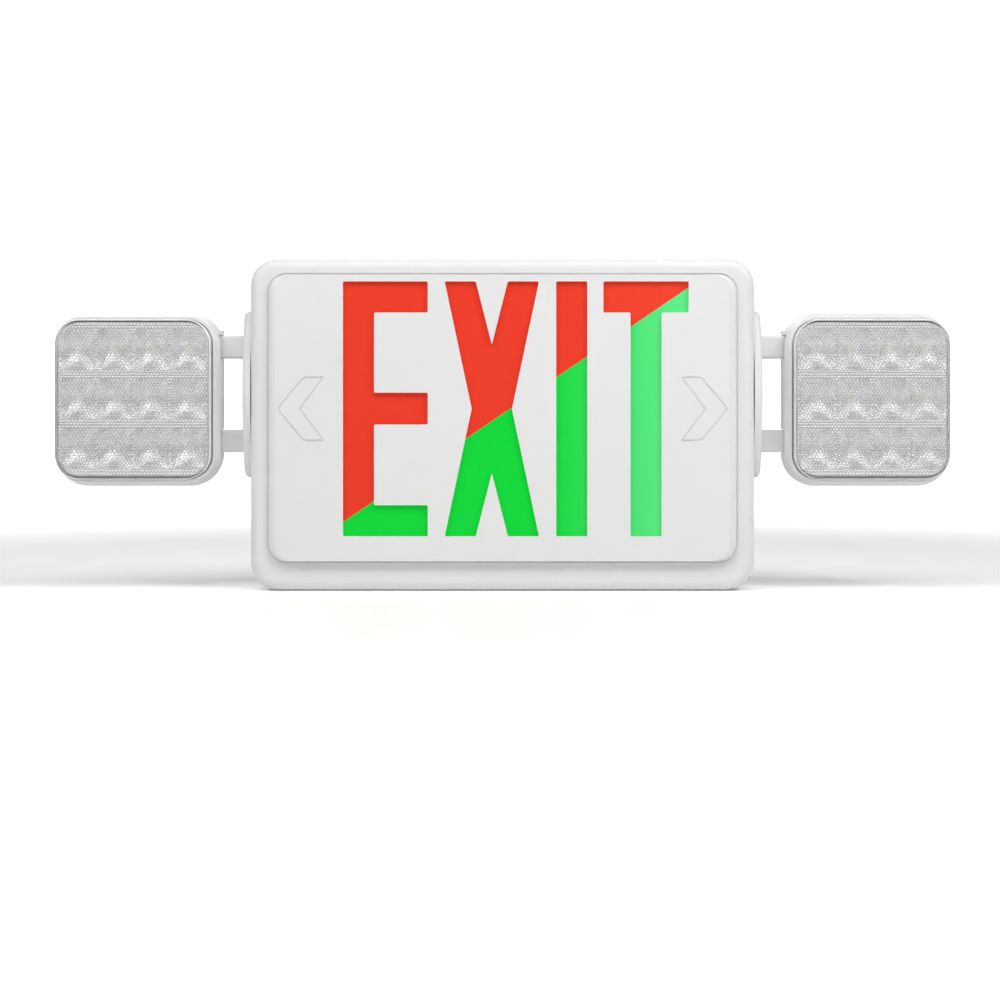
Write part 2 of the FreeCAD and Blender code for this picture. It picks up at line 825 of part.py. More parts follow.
def yoke():
    """The yoke: an oval plate, two arms, the hollow pivot, and the way of the wires to the head."""
    inner_face = half_width + plate_gap
    plate = Part.Face(oval_wire(inner_face)).extrude(Vector(plate_thickness, 0, 0))
    plate = plate.makeFillet(plate_edge_round, edges_at(plate, lambda p: abs(p.x - plate_outer) < 1e-4))
    solids = [plate] + [yoke_arm(z) for z in arm_centres()]
    tail = nut_inner_x() - pivot_tail
    solids.append(sideways(pivot_radius, tail, inner_face + 0.5, pivot_depth, pivot_z))
    channel = wire_channel_width / 2
    upper = arm_centres()[1]
    rear = pivot_depth - arm_thickness / 2
    cuts = [
        sideways(pivot_bore_radius, tail - 1, inner_face + wire_channel_depth, pivot_depth, pivot_z),
        block(inner_face - 1, inner_face + wire_channel_depth, pivot_depth - channel, pivot_depth + channel,
              pivot_z, upper + channel),
        block(inner_face - 1, inner_face + wire_channel_depth, rear, pivot_depth, upper - channel,
              upper + channel),
        block(inner_face, hinge_x - arm_thickness / 2, rear - 1, rear + wire_channel_depth,
              upper - channel, upper + channel),
    ]
    for z in arm_centres():
        cuts.append(upright(hinge_pin_radius + hinge_running_clearance, hinge_x, pivot_depth,
                            z - arm_height, z + arm_height))
    return fused(solids).cut(Part.makeCompound(cuts))


def washer_outer_x():
    """The face of the friction washer towards the housing's side wall."""
    return friction_face_x - washer_gap


def nut_inner_x():
    """The inner end of the retaining nut."""
    return washer_outer_x() - washer_thickness - nut_thickness


def friction_washer():
    """The washer that holds the head at its tilt."""
    right = washer_outer_x()
    ring = sideways(washer_outer_radius, right - washer_thickness, right, pivot_depth, pivot_z)
    bore = pivot_radius + washer_bore_clearance
    return ring.cut(sideways(bore, right - 2, right + 1, pivot_depth, pivot_z))


def retaining_nut():
    """The hexagonal nut on the pivot."""
    left = nut_inner_x()
    corner_radius = nut_across_flats / math.sqrt(3)
    points = []
    for index in range(7):
        angle = math.radians(60 * index)
        points.append(Vector(left, -pivot_depth + corner_radius * math.cos(angle),
                             pivot_z + corner_radius * math.sin(angle)))
    nut = Part.Face(Part.makePolygon(points)).extrude(Vector(nut_thickness, 0, 0))
    return nut.cut(sideways(pivot_radius, left - 1, left + nut_thickness + 1, pivot_depth, pivot_z))


# ---- Lamp head, modelled on the right-hand side ---------------------------------------------------------
def head_wire(width, height, radius, depth):
    """A rounded rectangle about the head's centre."""
    return rounded_wire(head_x - width / 2, head_x + width / 2, head_z - height / 2, head_z + height / 2,
                        radius, radius, depth)


def head_form(inset, rear_depth, front_depth):
    """The head's outer form drawn in by an inset: a flared skirt on a domed back."""
    wide = head_wire(shell_width - 2 * inset, shell_height - 2 * inset, shell_corner_radius - inset,
                     shell_wide_depth)
    rim = head_wire(shell_width - 2 * (inset + rim_inset), shell_height - 2 * (inset + rim_inset),
                    rim_corner_radius - inset, front_depth)
    skirt = Part.makeLoft([wide, rim], True, True)
    dome = slab(head_wire(shell_width - 2 * inset, shell_height - 2 * inset, shell_corner_radius - inset,
                          rear_depth), shell_wide_depth - rear_depth)
    dome = round_at_depth(dome, shell_rear_round - inset, rear_depth)
    return fused([skirt, dome])


def board_screw_places():
    """The head board's screws, in the gaps between four cups."""
    gap_z = cup_pitch_z / 2
    return [(head_x + x, head_z + z) for x, z in corners_of(cup_pitch_x, gap_z)]


def hinge_lugs():
    """The lugs above and below each arm that hold the hinge pins."""
    lugs = []
    reach = arm_height / 2 + lug_gap
    for z in arm_centres():
        for level in (-1, 1):
            span = sorted((z + level * reach, z + level * (reach + lug_thickness)))
            lugs.append(block(shell_inner_x + shell_wall / 2, shell_inner_x + lug_length,
                              pivot_depth - arm_thickness / 2, pivot_depth + arm_thickness / 2, *span))
    return lugs


def arm_slot_half():
    """Half the depth of the slots that let the head swivel on its arms."""
    swing = math.radians(swivel_swing)
    return arm_thickness / 2 / math.cos(swing) + hinge_inset * math.tan(swing) + arm_slot_clearance


def head_shell():
    """The lamp head's case, with a ledge for the lens, board posts, hinge lugs and arm slots."""
    case = head_form(0, shell_rear_depth, rim_depth)
    case = case.cut(head_form(shell_wall, shell_rear_depth + shell_wall, rim_depth + 0.01))
    ledge_near = lens_seat_depth - ledge_thickness
    ledge = head_form(shell_wall / 2, shell_rear_depth, rim_depth)
    ledge = ledge.common(block(head_x - shell_width, head_x + shell_width, ledge_near, lens_seat_depth,
                               head_z - shell_height, head_z + shell_height))
    inner = lens_width() - 2 * ledge_width, lens_height() - 2 * ledge_width
    ledge = ledge.cut(slab(head_wire(*inner, rim_corner_radius - ledge_width, ledge_near - 1), 5))
    posts = [rod(head_board_post_radius, x, z, shell_rear_depth + shell_wall / 2, board_rear_in_head())
             for x, z in board_screw_places()]
    case = fused([case, ledge] + posts + hinge_lugs())
    cuts = []
    for x, z in board_screw_places():
        cuts.append(rod(screw_radius, x, z, board_rear_in_head() - screw_grip, board_rear_in_head()))
    slot = arm_slot_half()
    reach = arm_height / 2 + lug_gap
    for z in arm_centres():
        cuts.append(block(shell_inner_x - 1, hinge_x + arm_thickness / 2 + arm_slot_clearance,
                          pivot_depth - slot, pivot_depth + slot, z - reach, z + reach))
        cuts.append(upright(hinge_pin_radius, hinge_x, pivot_depth, z - reach - lug_thickness - 1,
                            z + reach + lug_thickness + 1))
    return case.cut(Part.makeCompound(cuts))


def hinge_pins():
    """The two steel pins, one through each arm's barrel."""
    reach = arm_height / 2 + lug_gap + lug_thickness
    return Part.makeCompound([upright(hinge_pin_radius, hinge_x, pivot_depth, z - reach, z + reach)
                              for z in arm_centres()])


def lens_width():
    """The lens skirt's width, inside the head's rim."""
    return shell_width - 2 * (rim_inset + shell_wall + lens_clearance)


def lens_height():
    """The lens skirt's height, inside the head's rim."""
    return shell_height - 2 * (rim_inset + shell_wall + lens_clearance)


def head_lens():
    """The clear cap over the reflector."""
    radius = rim_corner_radius - shell_wall - lens_clearance
    cap = slab(head_wire(lens_width(), lens_height(), radius, lens_seat_depth),
               lens_front_depth - lens_seat_depth)
    cap = round_at_depth(cap, lens_edge_round, lens_front_depth)
    inner = slab(head_wire(lens_width() - 2 * lens_wall, lens_height() - 2 * lens_wall, radius - lens_wall,
                           lens_seat_depth), lens_front_depth - lens_seat_depth - lens_wall)
    return cap.cut(inner)


def board_rear_in_head():
    """The rear face of the head's lamp board."""
    return board_front_in_head - board_thickness


def cup_places():
    """The centres of the cups."""
    places = []
    for row in range(cup_rows):
        for column in range(cup_columns):
            x = (column - (cup_columns - 1) / 2) * cup_pitch_x
            z = (row - (cup_rows - 1) / 2) * cup_pitch_z
            places.append((head_x + x, head_z + z))
    return places


def cup_section(x, z, width, height, chamfer, depth):
    """A rectangle with cut corners about a cup's centre."""
    half_x = width / 2
    half_z = height / 2
    outline = (
        (chamfer - half_x, -half_z), (half_x - chamfer, -half_z), (half_x, chamfer - half_z),
        (half_x, half_z - chamfer), (half_x - chamfer, half_z), (chamfer - half_x, half_z),
        (-half_x, half_z - chamfer), (-half_x, chamfer - half_z),
    )
    return [Vector(x + right, -depth, z + up) for right, up in outline]


def flat(points):
    """A flat face through these corners."""
    return Part.Face(Part.makePolygon(points + points[:1]))


def faceted(sections):
    """A solid of flat faces through sections with as many corners each."""
    faces = [flat(sections[0]), flat(sections[-1])]
    for lower, upper in zip(sections, sections[1:]):
        count = len(lower)
        for index in range(count):
            following = (index + 1) % count
            faces.append(flat([lower[index], lower[following], upper[following], upper[index]]))
    return Part.makeSolid(Part.makeShell(faces))


def cup(x, z, grow):
    """One faceted cup, from its lamp hole out to its mouth, as a solid."""
    rear = board_front_in_head
    front = rear + cup_depth
    mouth_x = cup_pitch_x - cup_web_x
    mouth_z = cup_pitch_z - cup_web_z
    floor = cup_floor_size
    sections = []
    for share, flare in ((0.0, 0.0), (0.3, 0.46), (0.65, 0.78), (1.0, 1.0)):
        width = floor + (mouth_x - floor) * flare + 2 * grow
        height = floor + (mouth_z - floor) * flare + 2 * grow
        chamfer = min(width, height) * (0.3 - 0.22 * share)
        sections.append(cup_section(x, z, width, height, chamfer, rear + (front - rear) * share))
    return faceted(sections)


def head_reflector():
    """Twelve faceted cups in one thin moulding, with a web at their mouths."""
    front = board_front_in_head + cup_depth
    width = lens_width() - 2 * (lens_wall + reflector_clearance)
    height = lens_height() - 2 * (lens_wall + reflector_clearance)
    radius = rim_corner_radius - shell_wall - lens_clearance - lens_wall - reflector_clearance
    web = slab(head_wire(width, height, radius, front - reflector_web), reflector_web)
    room = slab(head_wire(width, height, radius, board_front_in_head), cup_depth)
    cups = [cup(x, z, cup_wall).common(room) for x, z in cup_places()]
    hollows = [cup(x, z, 0) for x, z in cup_places()]
    return fused([web] + cups).cut(Part.makeCompound(hollows))


def head_board():
    """The lamp board in the head."""
    width = lens_width() - 2 * (ledge_width + head_board_margin)
    height = lens_height() - 2 * (ledge_width + head_board_margin)
    board = slab(head_wire(width, height, rim_corner_radius - ledge_width - head_board_margin,
                           board_rear_in_head()), board_thickness)
    holes = [rod(screw_radius + screw_clearance, x, z, board_rear_in_head() - 1, board_front_in_head + 1)
             for x, z in board_screw_places()]
    return board.cut(Part.makeCompound(holes))


def head_leds():
    """Twelve lamps on the head's board, one in the floor of each cup."""
    half = led_size / 2
    return Part.makeCompound([block(x - half, x + half, board_front_in_head, board_front_in_head + led_height,
                                    z - half, z + half) for x, z in cup_places()])


def head_board_screws():
    """Four screws that hold the lamp board to its posts."""
    near = board_front_in_head
    tip = board_rear_in_head() - screw_grip + 1
    return Part.makeCompound([screw(x, z, near, near + screw_head_height, tip, False)
                              for x, z in board_screw_places()])


# ---- Build ------------------------------------------------------------------------------------------
def build_body():
    """Every piece that stays with the wall, and the two small controls."""
    red_filter, green_filter = colour_filters()
    upper_strip, upper_lamps = led_strip(1)
    lower_strip, lower_lamps = led_strip(-1)
    core, winding = transformer()
    selector, slider = colour_selector()
    return {
        "front_housing": front_housing(),
        "stencil_face": stencil_face(),
        "red_filter": red_filter,
        "green_filter": green_filter,
        "light_diffuser": light_diffuser(),
        "light_box": light_box(),
        "light_box_screws": light_box_screws(),
        "upper_led_strip": upper_strip,
        "lower_led_strip": lower_strip,
        "sign_leds": Part.makeCompound(upper_lamps + lower_lamps),
        "back_plate": back_plate(),
        "back_plate_screws": back_plate_screws(),
        "main_circuit_board": main_circuit_board(),
        "main_board_screws": main_board_screws(),
        "transformer_core": core,
        "transformer_winding": winding,
        "capacitors": capacitors(),
        "relay": relay(),
        "terminal_block": terminal_block(),
        "colour_selector": selector,
        "selector_slider": slider,
        "battery_pack": battery_pack(),
        "battery_clip": battery_clip(),
        "indicator_board": indicator_board(),
        "test_switch": test_switch(),
        "test_button": test_button(),
        "pilot_light": pilot_light(),
    }


def build_head_side():
    """Every piece of the right-hand yoke and lamp head."""
    return {
        "yoke": yoke(),
        "friction_washer": friction_washer(),
        "retaining_nut": retaining_nut(),
        "hinge_pins": hinge_pins(),
        "head_shell": head_shell(),
        "head_board": head_board(),
        "head_board_screws": head_board_screws(),
        "head_leds": head_leds(),
        "reflector": head_reflector(),
        "lens": head_lens(),
    }


for name, shape in build_body().items():
    export(name, shape)
for name, shape in build_head_side().items():
    export("right_" + name, shape)
    export("left_" + name, shape.mirror(Vector(0, 0, 0), Vector(1, 0, 0)))
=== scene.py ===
import bmesh
import bpy
import json
import math
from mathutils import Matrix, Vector


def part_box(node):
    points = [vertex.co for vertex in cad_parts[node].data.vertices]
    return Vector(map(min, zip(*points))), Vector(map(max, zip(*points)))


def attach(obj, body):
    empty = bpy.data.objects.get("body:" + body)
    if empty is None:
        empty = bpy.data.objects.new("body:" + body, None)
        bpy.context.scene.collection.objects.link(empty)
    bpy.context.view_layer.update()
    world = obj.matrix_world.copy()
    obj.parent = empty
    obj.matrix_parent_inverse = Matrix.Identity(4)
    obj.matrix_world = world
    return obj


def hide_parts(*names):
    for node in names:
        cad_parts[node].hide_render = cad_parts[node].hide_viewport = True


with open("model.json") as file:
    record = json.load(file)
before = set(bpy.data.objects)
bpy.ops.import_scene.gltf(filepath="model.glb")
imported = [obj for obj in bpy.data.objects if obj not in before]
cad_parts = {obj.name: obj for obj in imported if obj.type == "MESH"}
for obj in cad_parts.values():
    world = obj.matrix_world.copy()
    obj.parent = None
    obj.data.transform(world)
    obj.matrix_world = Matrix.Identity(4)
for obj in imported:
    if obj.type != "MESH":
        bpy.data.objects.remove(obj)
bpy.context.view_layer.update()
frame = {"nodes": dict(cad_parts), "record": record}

MM = 0.001

# A name that ends in SHARE is a share of another value, one in STEPS, SIDES or CELLS is a count, and one
# in CREASE is the angle in degrees over which an edge stays sharp.

# ---- Places read from the frame ----------------------------------------------------------------------
housing_low, housing_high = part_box("front_housing")
face_low, face_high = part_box("stencil_face")
rim_y = housing_low.y
face_y = face_low.y
floor_z = housing_low.z
face_rise = rim_y - face_y

# ---- The face panel: lengths in millimetres ----------------------------------------------------------
SIDE_SLOPE = 5.0
EDGE_SLOPE = 1.7
FOOT_SIDE = 0.8
FOOT_EDGE = 1.3
FOOT_LIP = 0.9
FOOT_FLOOR = 0.12
LIP_SHARE = 0.4
STRAIGHT_SHARE = 0.55
SKIRT_STEPS = 8
SKIRT_CREASE = 40.0
FACE_WALL = 2.0
FACE_RADIUS = 11.0
GROOVE_WIDTH = 0.8
GROOVE_DEPTH = 0.55
LETTER_BEVEL = 0.15
LOWER_BEVEL = 0.02
LETTER_TOP = 85.65
LETTER_BOTTOM = -66.75
STROKE = 18.6
CORNER_CUT_SHARE = 0.4
LETTER_CORNER = 1.0
CHEVRON_CORNER = 1.6
CHEVRON_INNER_CORNER = 1.2
CHEVRON_LEAN_SHARE = 1.3

# ---- The lenses: lengths in millimetres --------------------------------------------------------------
LENS_WALL = 1.8
LENS_RADIUS = 14.5
LENS_EDGE = 1.0
LENS_EDGE_STEPS = 6
LENS_INNER_EDGE = 0.7
LENS_PLAIN_FOOT = 1.5
LENS_CELLS = 280
CORNER_PULL_POWER = 4
BEAD_PITCH = 2.0
BEAD_ROW = 1.65
BEAD_DEPTH = 0.9
BEAD_REACH_SHARE = 0.6
RIDGE_DEPTH = 0.25

# ---- The lenses' finish and painted valley shade, from 0 to 1 ----------------------------------------
# share of the valleys' painted shade and roughness that the whole inner face also gets
INNER_VALLEY = 0.12
# painted shade: the dark base colour deep in the beads' valleys
PAINTED_VALLEY_SHADE = 0.14
VALLEY_FROSTING = 0.5
INNER_ROUGHNESS = 0.16

# ---- The screws in the back: lengths in millimetres --------------------------------------------------
SCREW_HEAD = 2.8
SCREW_FOOT_SHARE = 0.97
SCREW_HEIGHT = 1.6
SCREW_CROWN_SHARE = 0.45
SCREW_CROWN_STEPS = 6
SCREW_SHANK = 1.4
SCREW_TIP_SHARE = 0.4
SCREW_POINT = 1.4
SCREW_SIDES = 40
SCREW_CREASE = 35.0
RECESS_WIDTH = 0.8
RECESS_REACH = 1.7
RECESS_DEPTH = 1.1
RECESS_ABOVE = 0.5
RECESS_MOUTH_SHARE = 1.15
RECESS_FLOOR_SHARE = 0.45
RECESS_TAPER_SHARE = 0.4

# ---- Camera: lengths in metres -----------------------------------------------------------------------
SENSOR_MILLIMETRES = 36.0
VIEW_DISTANCE = 1.2
VIEW_WIDTH = 0.5975
FRAME_SHIFT_X = -0.0025
FRAME_SHIFT_Y = -0.0753
NEAREST = 0.05
FARTHEST = 50.0

# ---- Floor and backdrop: lengths in metres -----------------------------------------------------------
FLOOR_TONE = 0.95
FLOOR_LIFT = 0.10
SHADE_ENDS = 0.45
WHITE_BEGINS = 1.3
FLOOR_FRONT = -4.0
FLOOR_MIDDLE = -2.0
FLOOR_HALF_WIDTH = 6.0
SWEEP_BACK = 2.6
SWEEP_BEND = 1.2
SWEEP_STEPS = 12
BACKDROP_HEIGHT = 5.0

# ---- Light: places and sizes in metres, powers in watts ----------------------------------------------
LAMP_TARGET = (0.0, -0.03, 0.0)
KEY_PLACE = (0.70, -0.55, 0.65)
KEY_SIZE = (0.4, 0.4)
KEY_POWER = 4.0
LEFT_KEY_SHARE = 0.78
OVERHEAD_PLACE = (0.05, -0.50, 0.80)
OVERHEAD_SIZE = (0.9, 0.4)
OVERHEAD_POWER = 4.5
BACK_PLACE = (-0.4, 1.4, 0.9)
BACK_SIZE = (1.0, 0.6)
BACK_POWER = 2.5
WORLD_STRENGTH = 0.14
MIRRORED_STRENGTH = 0.32


# ---- Node helpers ------------------------------------------------------------------------------------
def material(name):
    """A new node material: its tree's nodes and links, and its Principled shader."""
    made = bpy.data.materials.new(name)
    made.use_nodes = True
    nodes = made.node_tree.nodes
    return made, nodes, made.node_tree.links, nodes["Principled BSDF"]


def noise(nodes, links, scale, detail):
    """Noise over the object's own coordinates, in features per metre, as a value."""
    coordinates = nodes.new("ShaderNodeTexCoord")
    texture = nodes.new("ShaderNodeTexNoise")
    texture.inputs["Scale"].default_value = scale
    texture.inputs["Detail"].default_value = detail
    links.new(coordinates.outputs["Object"], texture.inputs["Vector"])
    return texture.outputs["Fac"]


def vertex_value(nodes, name):
    """A value that is stored on the mesh's vertices."""
    made = nodes.new("ShaderNodeAttribute")
    made.attribute_name = name
    return made.outputs["Fac"]


def ramp(nodes, links, source, low, high, start=0.35, end=0.65):
    """A two-colour ramp over a value."""
    made = nodes.new("ShaderNodeValToRGB")
    made.color_ramp.elements[0].position = start
    made.color_ramp.elements[0].color = low
    made.color_ramp.elements[1].position = end
    made.color_ramp.elements[1].color = high
    links.new(source, made.inputs["Fac"])
    return made.outputs["Color"]


def grey(value):
    """An opaque grey."""
    return (value, value, value, 1.0)


def bump(nodes, links, shader, height, strength, distance=0.0002):
    """Bump on a shader from a height."""
    made = nodes.new("ShaderNodeBump")
    made.inputs["Strength"].default_value = strength
    made.inputs["Distance"].default_value = distance
    links.new(height, made.inputs["Height"])
    links.new(made.outputs["Normal"], shader.inputs["Normal"])


def smooth_range(nodes, links, source, start, end, lowest=0.0):
    """A value that rises smoothly to 1 while its source goes from start to end."""
    made = nodes.new("ShaderNodeMapRange")
    made.interpolation_type = "SMOOTHSTEP"
    made.inputs["From Min"].default_value = start
    made.inputs["From Max"].default_value = end
    made.inputs["To Min"].default_value = lowest
    links.new(source, made.inputs["Value"])
    return made.outputs["Result"]


def combined(nodes, links, operation, first, second):
    """Two values put together by a Math node."""
    made = nodes.new("ShaderNodeMath")
    made.operation = operation
    links.new(first, made.inputs[0])
    links.new(second, made.inputs[1])
    return made.outputs[0]


# ---- Materials ---------------------------------------------------------------------------------------
def moulded_white(name, tone, rough, grain):
    """White thermoplastic: faint flow marks in its tone, uneven sheen and a fine spark-eroded grain."""
    made, nodes, links, shader = material(name)
    flow = noise(nodes, links, scale=9.0, detail=3.0)
    shaded = tone * 0.975
    links.new(ramp(nodes, links, flow, grey(shaded), grey(tone)), shader.inputs["Base Color"])
    sheen = noise(nodes, links, scale=60.0, detail=2.0)
    swing = 0.04
    gloss = ramp(nodes, links, sheen, grey(rough - swing), grey(rough + swing))
    links.new(gloss, shader.inputs["Roughness"])
    fine = noise(nodes, links, scale=2600.0, detail=2.0)
    bump(nodes, links, shader, fine, strength=grain)
    shader.inputs["Specular IOR Level"].default_value = 0.4
    shader.inputs["Subsurface Weight"].default_value = 0.05
    shader.inputs["Subsurface Radius"].default_value = (0.002, 0.002, 0.002)
    return made


def filter_with_painted_glow(name, colour, pale):
    """A translucent coloured sheet with a painted glow that is paler towards its right-hand end."""
    made, nodes, links, shader = material(name)
    coordinates = nodes.new("ShaderNodeTexCoord")
    split = nodes.new("ShaderNodeSeparateXYZ")
    links.new(coordinates.outputs["Object"], split.inputs["Vector"])
    # painted backlight: the colour pales towards the sheet's right-hand end
    spread = smooth_range(nodes, links, split.outputs["X"], start=0.02, end=0.12)
    tint = ramp(nodes, links, spread, (*colour, 1.0), (*pale, 1.0), start=0.0, end=1.0)
    links.new(tint, shader.inputs["Base Color"])
    # painted glow: the sheet gives off its own colour, though no lamp lights it from behind
    links.new(tint, shader.inputs["Emission Color"])
    shader.inputs["Emission Strength"].default_value = 0.2
    shader.inputs["Roughness"].default_value = 0.45
    shader.inputs["Specular IOR Level"].default_value = 0.1
    fine = noise(nodes, links, scale=900.0, detail=2.0)
    bump(nodes, links, shader, fine, strength=0.06)
    return made


def chrome():
    """The metallised reflector: bright, with slight orange peel."""
    made, nodes, links, shader = material("metallised")
    shader.inputs["Metallic"].default_value = 1.0
    shader.inputs["Base Color"].default_value = (0.90, 0.905, 0.915, 1.0)
    haze = noise(nodes, links, scale=120.0, detail=3.0)
    links.new(ramp(nodes, links, haze, grey(0.12), grey(0.20)), shader.inputs["Roughness"])
    peel = noise(nodes, links, scale=420.0, detail=2.0)
    bump(nodes, links, shader, peel, strength=0.12, distance=0.0003)
    return made


def clear_plastic():
    """The lenses' clear polycarbonate: rougher, with painted shade in the beads' valleys, frosted at its
    sides.
    """
    made, nodes, links, shader = material("clear_plastic")
    shader.inputs["IOR"].default_value = 1.49
    valley_shade_and_roughness = vertex_value(nodes, "valley_shade_and_roughness")
    # painted shade: a darker base colour in the beads' valleys
    tone = ramp(nodes, links, valley_shade_and_roughness, grey(0.98), grey(PAINTED_VALLEY_SHADE), start=0.15, end=1.0)
    links.new(tone, shader.inputs["Base Color"])
    rough = ramp(nodes, links, valley_shade_and_roughness, grey(0.03), grey(INNER_ROUGHNESS), start=0.02, end=0.08)
    links.new(rough, shader.inputs["Roughness"])
    frosting = vertex_value(nodes, "frosting")
    clarity = ramp(nodes, links, frosting, grey(0.9), grey(0.25), start=0.0, end=1.0)
    links.new(clarity, shader.inputs["Transmission Weight"])
    haze = noise(nodes, links, scale=300.0, detail=2.0)
    bump(nodes, links, shader, haze, strength=0.03)
    path = nodes.new("ShaderNodeLightPath")
    passing = nodes.new("ShaderNodeBsdfTransparent")
    passing.inputs["Color"].default_value = grey(0.85)
    mix = nodes.new("ShaderNodeMixShader")
    links.new(path.outputs["Is Shadow Ray"], mix.inputs["Fac"])
    links.new(shader.outputs["BSDF"], mix.inputs[1])
    links.new(passing.outputs["BSDF"], mix.inputs[2])
    links.new(mix.outputs["Shader"], nodes["Material Output"].inputs["Surface"])
    return made


def plain_plastic(name, colour, rough):
    """A coloured moulding with a slight grain."""
    made, nodes, links, shader = material(name)
    flow = noise(nodes, links, scale=40.0, detail=3.0)
    dark = tuple(0.86 * part for part in colour)
    links.new(ramp(nodes, links, flow, (*dark, 1.0), (*colour, 1.0)), shader.inputs["Base Color"])
    shader.inputs["Roughness"].default_value = rough
    fine = noise(nodes, links, scale=1800.0, detail=2.0)
    bump(nodes, links, shader, fine, strength=0.08)
    return made


def bright_metal(name, tone, rough):
    """Zinc-plated or bare steel, with a faint drawn grain."""
    made, nodes, links, shader = material(name)
    shader.inputs["Metallic"].default_value = 1.0
    stain = noise(nodes, links, scale=500.0, detail=4.0)
    stained = tone * 0.8
    links.new(ramp(nodes, links, stain, grey(stained), grey(tone)), shader.inputs["Base Color"])
    shader.inputs["Roughness"].default_value = rough
    bump(nodes, links, shader, stain, strength=0.1)
    return made


def lamp_package():
    """A surface-mount lamp: pale phosphor in a white case."""
    made, nodes, links, shader = material("lamp_package")
    speckle = noise(nodes, links, scale=3000.0, detail=3.0)
    tint = ramp(nodes, links, speckle, (0.84, 0.81, 0.66, 1.0), (0.88, 0.87, 0.78, 1.0))
    links.new(tint, shader.inputs["Base Color"])
    shader.inputs["Roughness"].default_value = 0.3
    return made


SLOT_MATERIALS = {
    "white_body": moulded_white("white_body", tone=0.80, rough=0.42, grain=0.10),
    "white_face": moulded_white("white_face", tone=0.82, rough=0.36, grain=0.05),
    "white_head": moulded_white("white_head", tone=0.80, rough=0.40, grain=0.08),
    "opal_sheet": moulded_white("opal", tone=0.85, rough=0.5, grain=0.05),
    # the red and green sheets carry a painted glow and a paler, painted right-hand end
    "red_filter": filter_with_painted_glow("red_sheet_painted_glow", (0.71, 0.040, 0.019), pale=(0.75, 0.050, 0.024)),
    "green_filter": filter_with_painted_glow("green_sheet_painted_glow", (0.004, 0.58, 0.038), pale=(0.10, 0.70, 0.22)),
    "metallised_reflector": chrome(),
    "clear_lens": clear_plastic(),
    "circuit_board": plain_plastic("board", (0.03, 0.20, 0.08), rough=0.35),
    "black_plastic": plain_plastic("black", (0.03, 0.03, 0.03), rough=0.45),
    "green_terminal": plain_plastic("terminal", (0.05, 0.30, 0.12), rough=0.4),
    "button_plastic": plain_plastic("button", (0.60, 0.04, 0.03), rough=0.3),
    "pilot_lens": plain_plastic("pilot", (0.05, 0.55, 0.12), rough=0.12),
    "coil_wrap": plain_plastic("coil_wrap", (0.62, 0.45, 0.10), rough=0.5),
    "battery_sleeve": plain_plastic("sleeve", (0.05, 0.22, 0.10), rough=0.3),
    "zinc_screw": bright_metal("screw", tone=0.75, rough=0.28),
    "steel_clip": bright_metal("steel", tone=0.68, rough=0.34),
    "laminated_core": bright_metal("core", tone=0.30, rough=0.5),
    "led_package": lamp_package(),
    "lamp_board": plain_plastic("lamp_board", (0.78, 0.78, 0.76), rough=0.35),
}


def dress_frame():
    """Gives each CAD node its material."""
    for part in frame["record"]["subparts"]:
        node = frame["nodes"][part["node"]]
        node.data.materials.clear()
        node.data.materials.append(SLOT_MATERIALS[part["material_slot"]])


# ---- Mesh helpers ------------------------------------------------------------------------------------
def linked(name, data):
    """A new object in the scene."""
    made = bpy.data.objects.new(name, data)
    bpy.context.scene.collection.objects.link(made)
    return made


def add_piece(name, mesh, body, slot_name):
    """Puts a mesh in the scene as a piece of the object, in its slot's material."""
    piece = linked(name, mesh)
    piece.data.materials.append(SLOT_MATERIALS[slot_name])
    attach(piece, body)
    return piece


def finished(work, name, outward=True):
    """Turns a bmesh into a mesh, with its faces outward if asked, and frees it."""
    if outward:
        bmesh.ops.recalc_face_normals(work, faces=work.faces)
    mesh = bpy.data.meshes.new(name)
    work.to_mesh(mesh)
    work.free()
    return mesh


def evaluated(holder):
    """The mesh of an object with its curve or modifiers applied."""
    bpy.context.view_layer.update()
    return bpy.data.meshes.new_from_object(holder.evaluated_get(bpy.context.evaluated_depsgraph_get()))


def smoothed(mesh, crease=None):
    """Makes a mesh's faces smooth, but sharp at edges over the crease's angle in degrees."""
    for polygon in mesh.polygons:
        polygon.use_smooth = True
    if crease is not None:
        mesh.set_sharp_from_angle(angle=math.radians(crease))
    return mesh


def join_rings(work, rings):
    """Faces between each ring of vertices and the next."""
    for lower, upper in zip(rings, rings[1:]):
        for index in range(len(lower)):
            following = (index + 1) % len(lower)
            corners = (lower[index], lower[following], upper[following], upper[index])
            work.faces.new(tuple(dict.fromkeys(corners)))


def rounded_outline(left, right, bottom, top, radius, steps=10):
    """Points round a rectangle with rounded corners, anticlockwise seen from the front."""
    points = []
    corners = ((right, bottom, -1, 1, -90), (right, top, -1, -1, 0), (left, top, 1, -1, 90),
               (left, bottom, 1, 1, 180))
    for x, z, toward_x, toward_z, start in corners:
        for step in range(steps + 1):
            angle = math.radians(start + 90 * step / steps)
            points.append((x + radius * (toward_x + math.cos(angle)),
                           z + radius * (toward_z + math.sin(angle))))
    return points


def panel_outline(side, edge):
    """The face panel's outline, drawn in at its sides and at its top and bottom edges."""
    return rounded_outline(face_low.x / MM + side, face_high.x / MM - side,
                           face_low.z / MM + edge, face_high.z / MM - edge, FACE_RADIUS)


def rounded_corners(points, radius, steps=3):
    """The same outline with each corner cut by a small arc."""
    made = []
    count = len(points)
    for index, point in enumerate(points):
        here = Vector(point)
        before = Vector(points[index - 1]) - here
        after = Vector(points[(index + 1) % count]) - here
        cut = min(radius, before.length * CORNER_CUT_SHARE, after.length * CORNER_CUT_SHARE)
        start = here + before.normalized() * cut
        end = here + after.normalized() * cut
        for step in range(steps + 1):
            share = step / steps
            made.append(tuple(start * (1 - share)**2 + here * 2 * share * (1 - share) + end * share**2))
    return made


